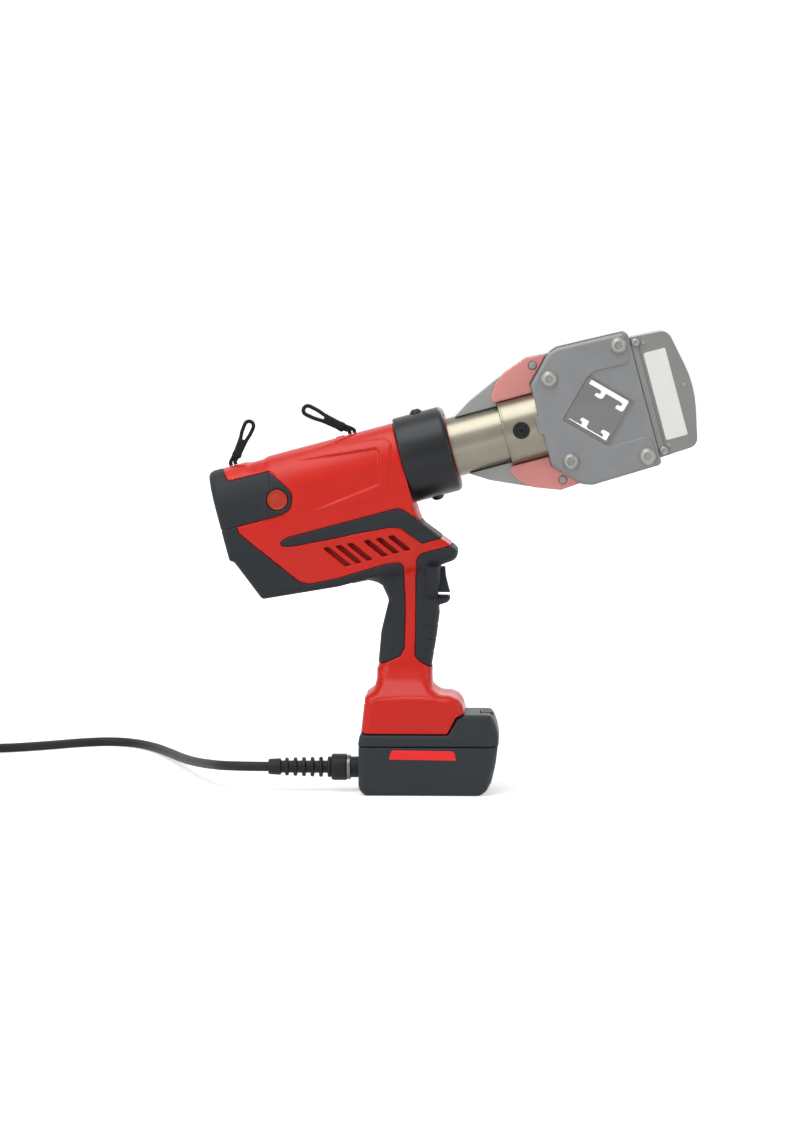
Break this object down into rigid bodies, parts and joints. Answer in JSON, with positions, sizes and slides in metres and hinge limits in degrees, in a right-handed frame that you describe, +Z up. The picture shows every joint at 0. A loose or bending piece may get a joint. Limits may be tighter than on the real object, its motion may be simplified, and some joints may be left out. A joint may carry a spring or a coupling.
{
  "type": "pex press tool",
  "caption": "Red and dark grey hydraulic press tool with a swivelling barrel, a grey rail-shear head, strap loops and a corded mains adapter that slides onto its foot.",
  "frame": {"origin": "centre of the flat underside of the mains adapter, on the floor", "axes": "+X points forward to the shear head, +Z up, +Y to the left side of the tool, away from the picture"},
  "size_m": [0.8219, 0.3964, 0.4155],
  "materials": {
    "red_shell": "moulded red plastic, satin",
    "soft_grip": "soft-touch overmould",
    "screws": "zinc plated",
    "loop_cord": "braided",
    "black_plastic": "fine texture",
    "release_orange": "satin",
    "steel": "machined",
    "nickel": "nickel plated, turned",
    "bronze": "sintered",
    "seal": "smooth",
    "wire": "wire insulation",
    "collar_black": "fine texture",
    "black_steel": "black oxide",
    "grey_alloy": "grey anodised",
    "cover_red": "red powder coat",
    "adapter_shell": "fine texture",
    "heat_sink": "board with heat sink and potted coils",
    "cord_rubber": "smooth matt"
  },
  "bodies": {
    "body": {"housing_right": "red_shell", "housing_left": "red_shell", "rear_cover": "soft_grip", "rear_grip_right": "soft_grip", "rear_grip_left": "soft_grip", "front_grip_right": "soft_grip", "front_grip_left": "soft_grip", "side_inlays": "soft_grip", "housing_screws": "screws", "strap_loop_rear": "loop_cord", "strap_loop_front": "loop_cord", "trigger_spring": "steel", "trigger_switch": "black_plastic", "release_valve": "steel", "motor_can": "steel", "shaft_bearings": "bronze", "pump_block": "steel", "pump_plunger": "steel", "oil_reservoir": "black_plastic", "wire_harness": "wire", "terminal_block": "black_plastic", "collar": "collar_black", "swivel_bush": "bronze"},
    "barrel": {"cylinder_tube": "nickel", "fork_head": "nickel", "rod_guide": "bronze", "return_spring": "steel", "head_frame": "grey_alloy", "head_plate_right": "grey_alloy", "head_plate_left": "grey_alloy", "head_bolts": "screws", "jaw_covers": "cover_red", "tail_braces": "grey_alloy", "fixed_die": "steel", "nose_guard": "grey_alloy"},
    "ram": {"ram": "steel", "piston_seal": "seal", "roller_carrier": "steel", "roller_pins": "steel"},
    "roller_upper": {"roller_upper": "steel"},
    "roller_lower": {"roller_lower": "steel"},
    "blade": {"moving_blade": "steel", "blade_carrier": "steel"},
    "jaw_pin": {"jaw_pin": "black_steel"},
    "trigger": {"trigger": "black_plastic"},
    "release_button": {"release_button": "release_orange"},
    "rotor": {"motor_rotor": "steel", "cooling_fan": "black_plastic"},
    "gear": {"drive_gear": "steel", "eccentric_shaft": "steel"},
    "adapter": {"adapter_base": "adapter_shell", "adapter_cover": "adapter_shell", "power_board": "heat_sink", "cord_connector": "black_plastic", "strain_relief": "cord_rubber", "cord_lead": "cord_rubber", "cord_coil": "cord_rubber", "coil_tie": "cord_rubber", "mains_plug": "cord_rubber"},
    "latch": {"latch_button": "black_plastic"}
  },
  "joints": [
    {"name": "barrel_swivel", "type": "hinge", "parent": "body", "child": "barrel", "pos_m": [0, 0, 0.305], "axis": [0.9659, 0, 0.2588], "range_deg": [-135, 135]},
    {"name": "ram_stroke", "type": "slide", "parent": "barrel", "child": "ram", "axis": [0.9659, 0, 0.2588], "range_m": [0, 0.02], "stiffness_N_per_m": 2500, "springref_m": -0.012, "deforming": ["return_spring"]},
    {"name": "roller_upper_spin", "type": "hinge", "parent": "ram", "child": "roller_upper", "pos_m": [0.03386, 0, 0.32546], "axis": [0, 1, 0], "continuous": true},
    {"name": "roller_lower_spin", "type": "hinge", "parent": "ram", "child": "roller_lower", "pos_m": [0.03955, 0, 0.30421], "axis": [0, 1, 0], "continuous": true},
    {"name": "blade_slide", "type": "slide", "parent": "barrel", "child": "blade", "axis": [0.9659, 0, 0.2588], "range_m": [0, 0.02]},
    {"name": "pin_pull", "type": "slide", "parent": "barrel", "child": "jaw_pin", "axis": [0, 1, 0], "range_m": [0, 0.07]},
    {"name": "trigger_pull", "type": "slide", "parent": "body", "child": "trigger", "axis": [-1, 0, 0], "range_m": [0, 0.006], "stiffness_N_per_m": 600, "springref_m": -0.003, "deforming": ["trigger_spring"]},
    {"name": "release_press", "type": "slide", "parent": "body", "child": "release_button", "axis": [0, 1, 0], "range_m": [0, 0.003], "stiffness_N_per_m": 800, "springref_m": -0.002},
    {"name": "motor_spin", "type": "hinge", "parent": "body", "child": "rotor", "pos_m": [-0.09935, 0, 0.21212], "axis": [0.9659, 0, 0.2588], "continuous": true},
    {"name": "gear_spin", "type": "hinge", "parent": "body", "child": "gear", "pos_m": [-0.13764, 0, 0.23913], "axis": [0.9659, 0, 0.2588], "continuous": true},
    {"name": "adapter_slide", "type": "slide", "parent": "body", "child": "adapter", "axis": [1, 0, 0], "range_m": [0, 0.1]},
    {"name": "latch_press", "type": "slide", "parent": "adapter", "child": "latch", "axis": [0, 0, -1], "range_m": [0, 0.003], "stiffness_N_per_m": 900, "springref_m": -0.003}
  ],
  "couplings": [
    {"joint": "blade_slide", "follows": "ram_stroke", "ratio": 1},
    {"joint": "gear_spin", "follows": "motor_spin", "ratio": -0.33333}
  ]
}
